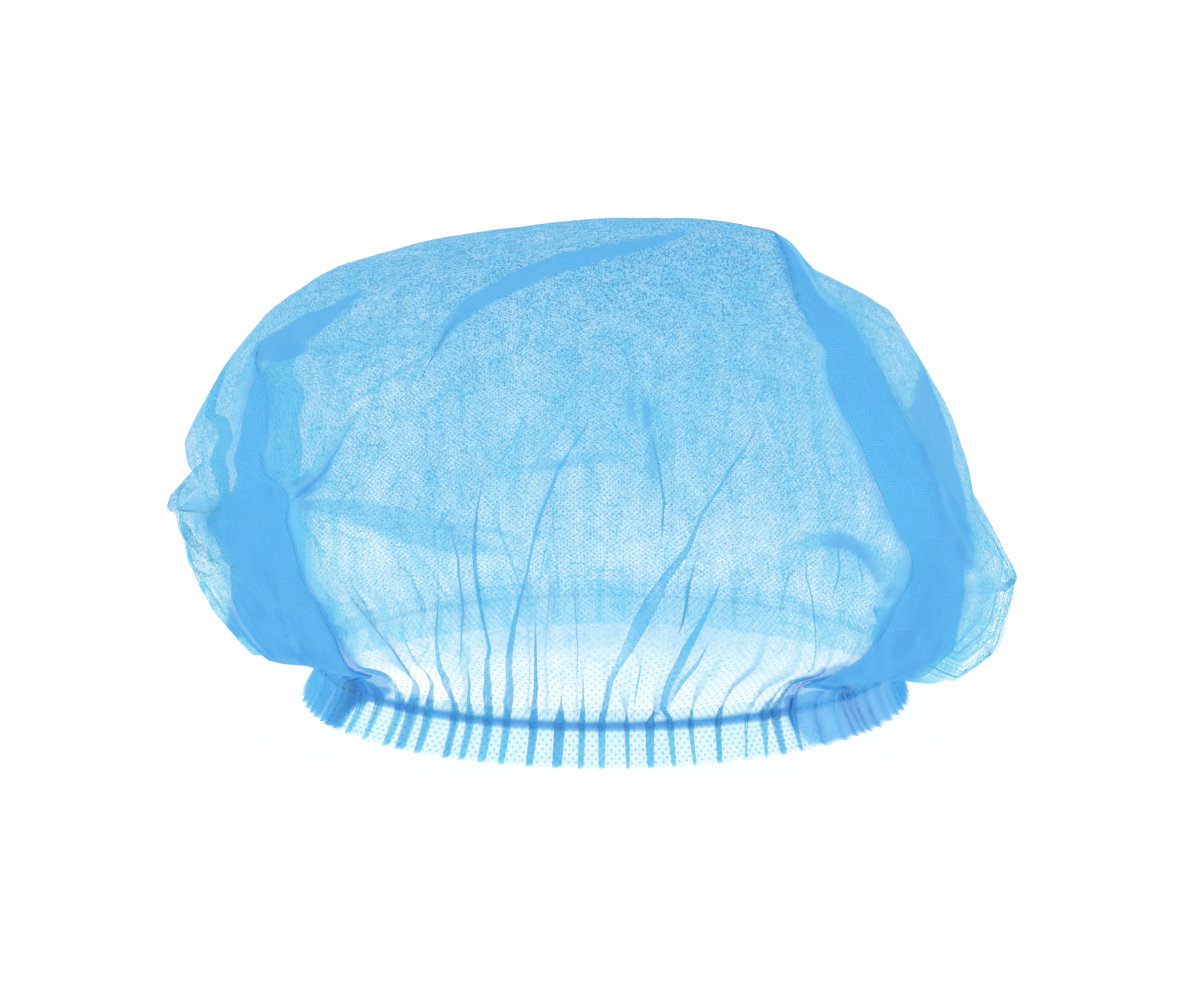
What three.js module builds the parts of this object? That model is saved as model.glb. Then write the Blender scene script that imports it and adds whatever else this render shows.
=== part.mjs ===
// A disposable bouffant cap: a disc of thin non-woven cloth, gathered along its turned-up hem by an elastic
// cord. Millimetres, +Z up. The cap stands on the edge of its hem, opening down. The origin is the middle of
// its footprint, -Y is the front and +X the right-hand side as one looks at the front.
import * as THREE from "three";

// Driving sizes.
const wall = 1.2; // the crown's cloth
const hemWall = 1.0; // the turned-up layer of the hem
const seat = 0.6; // clearance between the hem's two layers
const cordRadius = 0.6; // elastic cord
const cordSides = 6;
const cordGap = 0.4; // clearance each side of the cord
const pleatCount = 72; // gathers round the hem
const pleatLean = 0.14; // how far each gather's crest leans over its neighbour, as a share of a gather
const hemLift = 0.8; // the turned-up layer stays this far off the ground
const hemTopShare = 0.4; // and ends this share of the way from the elastic to the ring above
const middle = new THREE.Vector3(2.5, -1.2, 0); // the hem's middle, from the footprint's

// The cap's form, ring by ring from the hem to the top. left, right, front and back are how far the cloth
// reaches from the middle, and the four heights are the ring's own at those places. pleat is the gathers'
// depth to each side.
const rings = [
  // name, left, leftZ, right, rightZ, front, frontZ, back, backZ, pleat
  ["hem edge", 98, 0, 99.5, 0, 89, 0, 88, 0, 2.2],
  ["elastic", 93, 12, 95.5, 12, 84, 12, 83, 12, 0.6],
  ["hem top", 98, 20, 100, 18.5, 88, 24, 87, 23, 1.7],
  ["ear underside", 115, 18.5, 117.5, 9.5, 95, 38, 95, 36, 1.2],
  ["ear lobe", 126.5, 32, 128.5, 18, 100, 54, 101, 52, 0.7],
  ["right tip", 135, 48.5, 133.5, 40, 104, 70, 106, 68, 0.3],
  ["left tip", 139, 65, 123.5, 60, 105, 84, 108, 83, 0],
  ["side notch", 134, 74, 118.5, 74, 104, 96, 107, 96, 0],
  ["upper side", 135.5, 84.5, 112.5, 92, 101, 108, 105, 108, 0],
  ["shoulder", 123, 108, 101.5, 112, 95, 120, 99, 119, 0],
  ["upper edge", 110, 124, 94, 124, 86, 131, 91, 130, 0],
  ["corner notch", 93, 136, 72.5, 136, 73, 140, 79, 138.5, 0],
  ["top corner", 72, 142, 60, 149, 57, 146, 63, 144.5, 0],
  ["top", 42, 146.8, 42, 154, 37, 151, 42, 149.8, 0],
  ["top middle", 12, 151.8, 24, 155.3, 16, 154.3, 18, 153.3, 0],
].map(([name, left, leftZ, right, rightZ, front, frontZ, back, backZ, pleat]) => (
  { name, left, leftZ, right, rightZ, front, frontZ, back, backZ, pleat }
));
const peak = new THREE.Vector3(6, 0, 154.6);

// The rows of points up the cloth, as levels from ring to ring, and how many columns each has.
const fullLevels = [0, 1, 2, 2.6, 3.3, 4, 5, 6, 7, 8, 9, 10, 11]; // two columns for each gather
const topRows = [{ level: 12, columns: 72 }, { level: 13, columns: 36 }, { level: 14, columns: 36 }];

// Wide pleats that run up the cap, where the cloth lies on itself in three layers, with an ear of loose cloth
// between the front pair and the back pair on each side. azimuth is 0 at the front and 90 at the right, and
// a pleat takes up the cloth half degrees to each side of its own. top is 1 where its right-hand layer is
// outermost. The path says where the pleat is at each level, and how much of its full overlap it has there.
const widePleats = [
  {
    name: "front left", azimuth: -58, half: 15, top: -1,
    path: [
      [0, -62, 0], [2, -59, 0], [3.5, -54.5, 0.9], [5.25, -50.3, 1], [6.3, -48.3, 1], [7.6, -50.4, 0.95],
      [8.85, -56.6, 1.05], [9.8, -69, 1], [11, -80, 0],
    ],
  },
  {
    name: "front right", azimuth: 55, half: 15, top: 1,
    path: [
      [0, 57, 0], [2, 53, 0], [3.5, 50, 0.9], [5.05, 50.5, 1], [5.7, 53, 1.05], [7.4, 49, 1], [8.5, 47.5, 1],
      [9.8, 51, 1], [10.9, 62, 0.9], [11.8, 74, 0.5], [12.5, 88, 0],
    ],
  },
  {
    name: "back right", azimuth: 118, half: 14, top: -1,
    path: [
      [0, 118, 0], [2, 122, 0], [3.5, 124, 0.9], [5, 122, 1], [7, 115.5, 0.95], [8.3, 108, 0.7],
      [9.4, 102, 0],
    ],
  },
  {
    name: "back left", azimuth: -118, half: 14, top: 1,
    path: [
      [0, -116, 0], [2, -116, 0], [3.5, -118, 0.9], [5, -122, 0.95], [7, -121, 0.9], [8.5, -116, 0.8],
      [10, -106, 0],
    ],
  },
].map((pleat) => {
  const path = pleat.path.map(([level, azimuth, share]) => ({ level, azimuth, share }));
  return { ...pleat, path };
});
const layerDepth = 4; // how far a wide pleat's outer layer stands out from its middle one
const layerFade = 9; // degrees over which the cloth beside a wide pleat comes back to its own level

// Long folds that rise from the gathers. foot and head are azimuths, from and to are levels, height is how
// far the crest stands out, and half is half its width in degrees.
const folds = [
  // name, foot, head, from, to, height, half
  ["left slant", -36, -40, 1.5, 5.4, 2.6, 2.6],
  ["left upright", -27, -19, 1.5, 8.2, 2.4, 2.4],
  ["middle upright", -21, -14, 1.5, 7.7, 2.4, 2.4],
  ["left of middle", -15, -2, 1.5, 8.4, 2.8, 2.6],
  ["short middle", -5, -5, 1.5, 4.6, 2.0, 2.4],
  ["broad slant", 1, 25, 1.5, 8.6, 3.4, 3.6],
  ["right slant", 12, 16, 1.5, 5.0, 3.0, 2.8],
  ["right curl", 18, 33, 1.5, 3.4, 3.0, 3.0],
  ["left ear rib", -74, -82, 1.7, 6.2, 3.0, 3.4],
  ["left ear rib back", -94, -97, 1.7, 6.0, 3.2, 3.4],
  ["right ear rib", 76, 84, 1.7, 5.6, 3.2, 3.4],
  ["right ear back", 96, 98, 1.7, 5.8, 3.2, 3.4],
  ["back right slant", 150, 140, 1.5, 6.5, 3.0, 3.0],
  ["back upright", 168, 172, 1.5, 8.2, 2.8, 2.8],
  ["back slant", -170, -158, 1.5, 7.4, 3.2, 3.4],
  ["back left upright", -150, -148, 1.5, 6.0, 2.6, 2.8],
].map(([name, foot, head, from, to, height, half]) => ({ name, foot, head, from, to, height, half }));

// Creases that cross the crown, as ridges (or valleys, with a negative height) from one place to another.
const creases = [
  // name, azimuth, level, toAzimuth, toLevel, height, half
  ["top band", -29, 10.5, 30, 13.2, 2.0, 0.8],
  ["sash", -42, 6.5, -14, 5.3, 1.6, 0.6],
  ["top corner", 84, 12.2, 70, 11.4, 3.2, 0.9],
  ["left shoulder", -52, 9.6, -60, 11.6, 2.4, 0.8],
  ["left dart", -44, 6.9, -36, 8.6, 2.2, 0.7],
  ["right brow", 90, 10.8, 66, 8.8, -2.4, 0.8],
  ["left ear pinch", -66, 6.7, -104, 7.1, -3.0, 0.6],
  ["right ear pinch", 66, 6.5, 106, 6.4, -2.6, 0.6],
  ["back fold", 140, 10.4, -150, 9, 2.6, 0.8],
  ["back dent", 175, 8, -165, 8.4, -3.0, 1.1],
].map(([name, azimuth, level, toAzimuth, toLevel, height, half]) => (
  { name, azimuth, level, toAzimuth, toLevel, height, half }
));
const degreesPerLevel = 6; // a turn round the cap about as long as one level up it

const { clamp, degToRad, euclideanModulo, lerp, smoothstep } = THREE.MathUtils;
const wrap = (degrees) => euclideanModulo(degrees + 180, 360) - 180;

// A fixed number from 0 to 1 for each whole number, so that the gathers are uneven and the same each time.
const scatter = (index) => euclideanModulo(Math.sin(index * 12.9898 + 4.1414) * 43758.5453, 1);

// The smooth form, with no gathers or folds: where a ring passes at an azimuth.
function ringPoint(ring, azimuth) {
  const side = Math.sin(degToRad(azimuth));
  const ahead = Math.cos(degToRad(azimuth));
  const [reachX, sideZ] = side < 0 ? [ring.left, ring.leftZ] : [ring.right, ring.rightZ];
  const [reachY, endZ] = ahead > 0 ? [ring.front, ring.frontZ] : [ring.back, ring.backZ];
  return new THREE.Vector3(reachX * side, -reachY * ahead, sideZ * side * side + endZ * ahead * ahead);
}

// The smooth form between rings, on a spline up the cap at that azimuth.
function formPoint(azimuth, level) {
  const below = Math.min(Math.floor(level), rings.length - 1);
  const at = (index) => (index < rings.length ? ringPoint(rings[Math.max(index, 0)], azimuth) : peak);
  const [a, b, c, d] = [below - 1, below, below + 1, below + 2].map(at);
  const t = level - below;
  const spline = (p, q, r, s) => {
    const bend = (2 * p - 5 * q + 4 * r - s) * t ** 2 + (3 * q - p - 3 * r + s) * t ** 3;
    return q + 0.5 * ((r - p) * t + bend);
  };
  return new THREE.Vector3(
    spline(a.x, b.x, c.x, d.x), spline(a.y, b.y, c.y, d.y), spline(a.z, b.z, c.z, d.z));
}

// A value from a path's rows at a level, in a straight line from row to row.
function alongPath(path, level, key) {
  const next = path.findIndex((row) => row.level > level);
  if (next < 1) return path.at(next)[key];
  const [low, high] = [path[next - 1], path[next]];
  return lerp(low[key], high[key], (level - low.level) / (high.level - low.level));
}

// Degrees by which the cloth turns round the cap at a level, so that each wide pleat keeps to its path.
function turnAt(azimuth, level) {
  const pleats = widePleats.map((pleat) => ({
    ahead: euclideanModulo(pleat.azimuth - azimuth, 360),
    behind: euclideanModulo(azimuth - pleat.azimuth, 360),
    turn: alongPath(pleat.path, level, "azimuth") - pleat.azimuth,
  }));
  const after = pleats.reduce((best, pleat) => (pleat.ahead < best.ahead ? pleat : best));
  const before = pleats.reduce((best, pleat) => (pleat.behind < best.behind ? pleat : best));
  if (before.behind === 0) return before.turn;
  return lerp(before.turn, after.turn, smoothstep(before.behind / (before.behind + after.ahead), 0, 1));
}

// How far a ridge of the given half width stands out at a distance from its crest, as a share of its height.
const ridge = (distance, half) => Math.max(0, 1 - Math.abs(distance) / (2 * half)) ** 2;

function foldHeight(azimuth, level) {
  return folds.reduce((sum, fold) => {
    const rise = smoothstep(level, fold.from, fold.from + 1);
    const share = rise * (1 - smoothstep(level, (fold.from + fold.to) / 2, fold.to));
    const crest = lerp(fold.foot, fold.head, smoothstep(level, fold.from, fold.to));
    return sum + fold.height * share * ridge(wrap(azimuth - crest), fold.half);
  }, 0);
}

function creaseHeight(azimuth, level) {
  return creases.reduce((sum, crease) => {
    const across = (angle) => wrap(angle - crease.azimuth) / degreesPerLevel;
    const run = new THREE.Vector2(across(crease.toAzimuth), crease.toLevel - crease.level);
    const here = new THREE.Vector2(across(azimuth), level - crease.level);
    const share = clamp(here.dot(run) / run.lengthSq(), 0, 1);
    const distance = here.distanceTo(run.clone().multiplyScalar(share));
    return sum + crease.height * Math.sin(Math.PI * clamp(share, 0.1, 0.9)) * ridge(distance, crease.half);
  }, 0);
}

// The gathers' depth at a column and level, positive on a crest.
function gather(column, level) {
  const below = Math.min(Math.floor(level), rings.length - 2);
  const depth = lerp(rings[below].pleat, rings[below + 1].pleat, level - below);
  return (column % 2 ? -1 : 1) * depth * (0.75 + 0.5 * scatter(column));
}

// The middle of the cloth's thickness at a column of the gathers and a level.
function clothPoint(column, level) {
  const spacing = 180 / pleatCount;
  const crestLean = (column % 2 ? -1 : 1) * pleatLean;
  const own = (column + crestLean + 0.3 * (scatter(column + 500) - 0.5)) * spacing - 180;
  const azimuth = own + turnAt(own, level);
  const point = formPoint(azimuth, level);
  const around = formPoint(azimuth + 0.5, level).sub(formPoint(azimuth - 0.5, level));
  const millimetresPerDegree = around.length();
  around.normalize();
  const above = formPoint(azimuth, Math.min(level + 0.05, rings.length));
  const up = above.sub(formPoint(azimuth, Math.max(level - 0.05, 0)));
  const outward = new THREE.Vector3().crossVectors(around, up).normalize();
  let out = gather(column, level) + foldHeight(azimuth, level) + creaseHeight(azimuth, level);
  let along = 0;
  for (const pleat of widePleats) {
    const share = alongPath(pleat.path, level, "share");
    const t = wrap(own - pleat.azimuth) / (2 * pleat.half) + 0.5;
    const beside = Math.max(0, -t, t - 1) * 2 * pleat.half;
    const fade = Math.exp(-beside / layerFade);
    out -= pleat.top * layerDepth * share * Math.cos(Math.PI * clamp(t, 0, 1)) * fade;
    if (beside === 0) along += pleat.half * millimetresPerDegree * share * Math.sin(2 * Math.PI * t);
  }
  if (level === 0) outward.setZ(0).normalize();
  return point.addScaledVector(around, along).addScaledVector(outward, out).add(middle);
}

// A skin of cloth: rows of points joined by triangles that face outwards. Each row has as many columns as the
// one below it or half as many, and the skin may close on a peak.
function makeSkin(rows, top) {
  const starts = [];
  const points = [];
  const faces = [];
  for (const row of rows) {
    starts.push(points.length);
    points.push(...row);
  }
  rows.slice(1).forEach((upper, index) => {
    const lower = rows[index];
    const step = lower.length / upper.length;
    const [low, high] = [starts[index], starts[index + 1]];
    for (let k = 0; k < upper.length; k++) {
      const [a, b] = [high + k, high + ((k + 1) % upper.length)];
      const [c, d, e] = [k * step, k * step + 1, (k + 1) * step].map((index) => low + (index % lower.length));
      if (step === 2) faces.push([c, d, a], [d, b, a], [d, e, b]);
      else faces.push([c, d, b], [c, b, a]);
    }
  });
  if (top) {
    const [last, count] = [starts.at(-1), rows.at(-1).length];
    points.push(top);
    for (let k = 0; k < count; k++) faces.push([last + k, last + ((k + 1) % count), points.length - 1]);
  }
  return { points, faces, firstRow: rows[0].length, lastRow: top ? 0 : rows.at(-1).length };
}

function geometryOf(points, faces) {
  const geometry = new THREE.BufferGeometry().setFromPoints(points);
  geometry.setIndex(faces.flat());
  geometry.computeVertexNormals();
  return geometry;
}

// The direction out of a skin at each of its points. Along the ground it stays level.
function outwardAt({ points, faces }) {
  const normals = geometryOf(points, faces).getAttribute("normal");
  return points.map((point, index) => {
    const normal = new THREE.Vector3().fromBufferAttribute(normals, index);
    if (point.z === 0) normal.setZ(0).normalize();
    return normal;
  });
}

// One closed body between the two sides of a skin. The points of its outer side and of its inner side come in
// the same order.
function makeShell(skin, outerPoints, innerPoints) {
  const count = outerPoints.length;
  const faces = [...skin.faces, ...skin.faces.map(([a, b, c]) => [a + count, c + count, b + count])];
  for (let k = 0; k < skin.firstRow; k++) {
    const next = (k + 1) % skin.firstRow;
    faces.push([k, k + count, next + count], [k, next + count, next]);
  }
  for (let k = 0; k < skin.lastRow; k++) {
    const [a, b] = [count - skin.lastRow + k, count - skin.lastRow + ((k + 1) % skin.lastRow)];
    faces.push([a, b + count, a + count], [a, b, b + count]);
  }
  return geometryOf([...outerPoints, ...innerPoints], faces);
}

// The skin of the whole crown, in the middle of its cloth's thickness, and the way out of it at each point.
function crownRow(level, columns) {
  const step = (2 * pleatCount) / columns;
  return Array.from({ length: columns }, (_, k) => clothPoint(k * step, level));
}
const crownRows = [
  ...fullLevels.map((level) => crownRow(level, 2 * pleatCount)),
  ...topRows.map(({ level, columns }) => crownRow(level, columns)),
];
const crownSkin = makeSkin(crownRows, peak.clone().add(middle));
const crownOutward = outwardAt(crownSkin);
const crownSide = (depth) =>
  crownSkin.points.map((point, index) => point.clone().addScaledVector(crownOutward[index], -depth));

// The crown and its frill below the elastic, in one piece of cloth.
function crownGeometry() {
  return makeShell(crownSkin, crownSide(-wall / 2), crownSide(wall / 2));
}

// A row of points inside the hem: a share of the way from one of the crown's rows to the next, and a depth in
// from the middle of its cloth.
function insideRow({ row, share, depth }) {
  const columns = 2 * pleatCount;
  const side = crownSide(depth);
  const at = (k) => side[row * columns + k].clone().lerp(side[(row + 1) * columns + k], share);
  return Array.from({ length: columns }, (_, k) => at(k));
}

// The hem's inner layer: the edge of the cloth turned up inside. It stands off at the elastic to make room
// for it, and a little less at its own edge above.
function turnedHemGeometry() {
  const beside = wall / 2 + seat;
  const aroundCord = wall / 2 + 2.5 * rings[1].pleat + 2 * (cordRadius + seat + cordGap) + seat;
  const layers = [
    { row: 0, share: hemLift / rings[1].frontZ, depth: beside },
    { row: 0, share: 1, depth: aroundCord },
    { row: 1, share: hemTopShare, depth: beside + 3 * seat },
  ];
  const outer = layers.map(insideRow);
  const inner = layers.map((layer) => insideRow({ ...layer, depth: layer.depth + hemWall }));
  return makeShell(makeSkin(outer, null), outer.flat(), inner.flat());
}

// The elastic: a round cord in one loop between the hem's two layers, midway between each gather's crest and
// hollow.
function elasticGeometry() {
  const depth = wall / 2 + 1.25 * rings[1].pleat + cordGap + cordRadius;
  const behindCloth = insideRow({ row: 0, share: 1, depth });
  const between = (k) => behindCloth[2 * k].clone().lerp(behindCloth[2 * k + 1], 0.5);
  const loop = Array.from({ length: pleatCount }, (_, k) => between(k));
  const route = new THREE.CatmullRomCurve3(loop, true);
  return new THREE.TubeGeometry(route, pleatCount, cordRadius, cordSides, true);
}

const clothMaterial = new THREE.MeshStandardMaterial({
  color: 0x8fcdf0,
  roughness: 0.85,
  metalness: 0,
  transparent: true,
  opacity: 0.55,
  side: THREE.DoubleSide,
});
const elasticMaterial = new THREE.MeshStandardMaterial({ color: 0x3f8fd0, roughness: 0.7, metalness: 0 });

const cap = new THREE.Group();
const pieces = [
  ["crown", crownGeometry(), clothMaterial],
  ["turned_hem", turnedHemGeometry(), clothMaterial],
  ["elastic", elasticGeometry(), elasticMaterial],
];
for (const [name, geometry, material] of pieces) {
  const mesh = new THREE.Mesh(geometry, material);
  mesh.name = name;
  cap.add(mesh);
}

export default cap;
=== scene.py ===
import math

import bpy
import numpy as np
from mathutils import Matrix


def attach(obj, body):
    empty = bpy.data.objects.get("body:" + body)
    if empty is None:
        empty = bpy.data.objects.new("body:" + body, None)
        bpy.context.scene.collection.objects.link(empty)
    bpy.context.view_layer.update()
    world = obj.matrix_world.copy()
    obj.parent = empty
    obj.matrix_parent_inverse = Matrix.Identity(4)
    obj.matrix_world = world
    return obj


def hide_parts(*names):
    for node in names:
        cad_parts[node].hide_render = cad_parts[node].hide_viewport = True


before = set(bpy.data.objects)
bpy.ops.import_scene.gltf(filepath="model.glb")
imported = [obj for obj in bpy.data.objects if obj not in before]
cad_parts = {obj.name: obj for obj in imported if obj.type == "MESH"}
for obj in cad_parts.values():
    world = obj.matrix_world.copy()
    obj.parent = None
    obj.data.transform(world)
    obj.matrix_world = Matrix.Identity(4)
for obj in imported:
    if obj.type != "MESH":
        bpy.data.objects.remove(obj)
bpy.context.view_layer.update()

# A disposable bouffant cap of sheer non-woven cloth, standing on its gathered hem.
# Everything is worked out in millimetres and goes to Blender in metres.
mm = 0.001

# where the rings are centred, from the footprint's middle
middle = np.array([2.5, -1.2, 0.0])

# ring by ring up the cap: how far the cloth reaches left, right, front and back, and its height there
ringRows = [
    # left, leftZ, right, rightZ, front, frontZ, back, backZ
    (98, 0, 99.5, 0, 89, 0, 88, 0),
    (93, 12, 95.5, 12, 84, 12, 83, 12),
    (98, 20, 100, 18.5, 88, 24, 87, 23),
    (115, 18.5, 117.5, 9.5, 95, 38, 95, 36),
    (126.5, 32, 128.5, 18, 100, 54, 101, 52),
    (135, 48.5, 133.5, 40, 104, 70, 106, 68),
    (139, 65, 123.5, 60, 105, 84, 108, 83),
    (134, 74, 118.5, 74, 104, 96, 107, 96),
    (135.5, 84.5, 112.5, 92, 101, 108, 105, 108),
    (123, 108, 101.5, 112, 95, 120, 99, 119),
    (110, 124, 94, 124, 86, 131, 91, 130),
    (93, 136, 72.5, 136, 73, 140, 79, 138.5),
    (72, 142, 60, 149, 57, 146, 63, 144.5),
    (42, 146.8, 42, 154, 37, 151, 42, 149.8),
    (12, 151.8, 24, 155.3, 16, 154.3, 18, 153.3),
]
peak = (6, 0, 154.6)

cloth = {
    "flatDiameter": 530,  # the finished cap laid flat
    "gathers": 84,
    "hemColumns": 1152,
    "crownColumns": 576,
    "topColumns": 288,
    "columnsEase": 2.2,  # how strongly columns gather at the folds
    "columnsReach": 1.1,  # and within how many degrees
    "backShare": 0.6,  # columns at the back, as a share of those in front
    "fineColumnsTo": 2.0,  # the level up to which the gathers have the finer columns
    "turnedTo": 1.4,  # the turned-up edge ends at this level
    "weaveSpread": 2.0,  # millimetres of weave to a degree round the side
    "weaveTurn": 9.2,  # the ring above which the weave runs as it did on the flat cloth
    "foldSpacing": 0.4,  # how close two folds may come, as a share of the cloth between them
    "angularSides": 0.8,  # how straight the ears' outline runs from ring to ring
    "elasticBunch": 0.9,
    "backCalm": 0.7,  # how much weaker the gathers are at the back
    "endHeight": 1.6,  # how much higher they run at the two ends
    "endLess": 0.55,  # and how much less they lap there, where they are stacked close
    "foldBunch": 0.26,  # how much cloth a fine fold bunches
    "seed": 11,
}

# The two stretches of the hem where the gathers are stacked close: side, and the degrees where a stretch
# starts, is full, fades and ends
closeStretches = [(1, 38, 48, 88, 100), (-1, 56, 66, 88, 100)]

# Where the cloth lies folded over, a colour is painted to make up for the light the folds lose: how soft the
# edges are in degrees, and how strong it is
lapShade = {
    "wide": (0.8, 1),
    "fine": (0.25, 0.65),
    "hemFrom": 37,  # the ends of the hem are all folds, from here on at the right
    "hemTo": -58,  # and up to here at the left
    "hemSoft": 4,
    "hemTop": (1.4, 2.2),  # the levels over which this fades
}

# Folds up the cap, where the cloth laps over itself. own is the fold's place round the hem in degrees, 0 at
# the front and 90 at the right. width is the cloth it takes up, in degrees. Path rows are level, azimuth
# there, and how much of the full lap there is.
wideLaps = [
    {"name": "frontLeft", "own": -58, "width": 30, "depth": 1.3, "side": 1,
     "path": [(0, -62, 0.15), (1.2, -60, 0.2), (1.6, -59, 0.7), (2.2, -58, 1.2), (3.1, -57, 1.35),
              (3.6, -56, 1.35), (4.37, -53, 1.2), (5, -49.8, 0.96), (5.5, -50.6, 1.04), (6, -52.5, 1.1),
              (6.5, -52.5, 1.05), (7, -52.5, 0.9), (7.5, -54.3, 0.72), (8.28, -55.9, 0.74),
              (8.85, -61.8, 0.76), (9.2, -65.8, 0.6), (9.5, -71.5, 0.35), (9.8, -78, 0)]},
    {"name": "frontRight", "own": 55, "width": 30, "depth": 1.3, "side": -1,
     "path": [(0, 56, 0.15), (1.2, 54, 0.2), (1.6, 50, 0.7), (2.2, 47, 1.2), (3, 46, 1.15),
              (3.5, 47.5, 1.05), (4, 49.3, 1.05), (4.67, 49.7, 1), (5.1, 51.6, 0.92), (5.7, 56, 1.05),
              (6.7, 54, 1.05), (7.5, 52.2, 1.05), (8.45, 50.6, 1.03), (9.2, 50.6, 1), (9.6, 51, 0.96),
              (10, 52.6, 0.92), (10.4, 56.6, 0.98), (10.85, 63.6, 1.05), (11.27, 69.5, 1), (11.7, 75, 1),
              (12.1, 82, 0.9), (12.4, 90, 0)]},
    {"name": "backRight", "own": 118, "width": 28, "depth": 1.3, "side": 1,
     "path": [(0, 108, 0.15), (1.2, 106, 0.2), (1.8, 107, 0.8), (3, 114, 1.08), (4, 119, 1),
              (4.5, 122, 1.08), (5.2, 122, 1.3), (6, 124, 1.25), (7, 130, 1), (8.7, 131.5, 0.9),
              (9.8, 122, 0)]},
    {"name": "backLeft", "own": -118, "width": 28, "depth": 1.3, "side": -1,
     "path": [(0, -110, 0.15), (1.2, -106, 0.2), (1.8, -104, 0.8), (3, -108, 1.15), (4, -116.5, 1.1),
              (5.5, -124, 0.95), (7, -124.5, 0.85), (8.5, -124.5, 0.75), (9.5, -118, 0)]},
]
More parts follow.
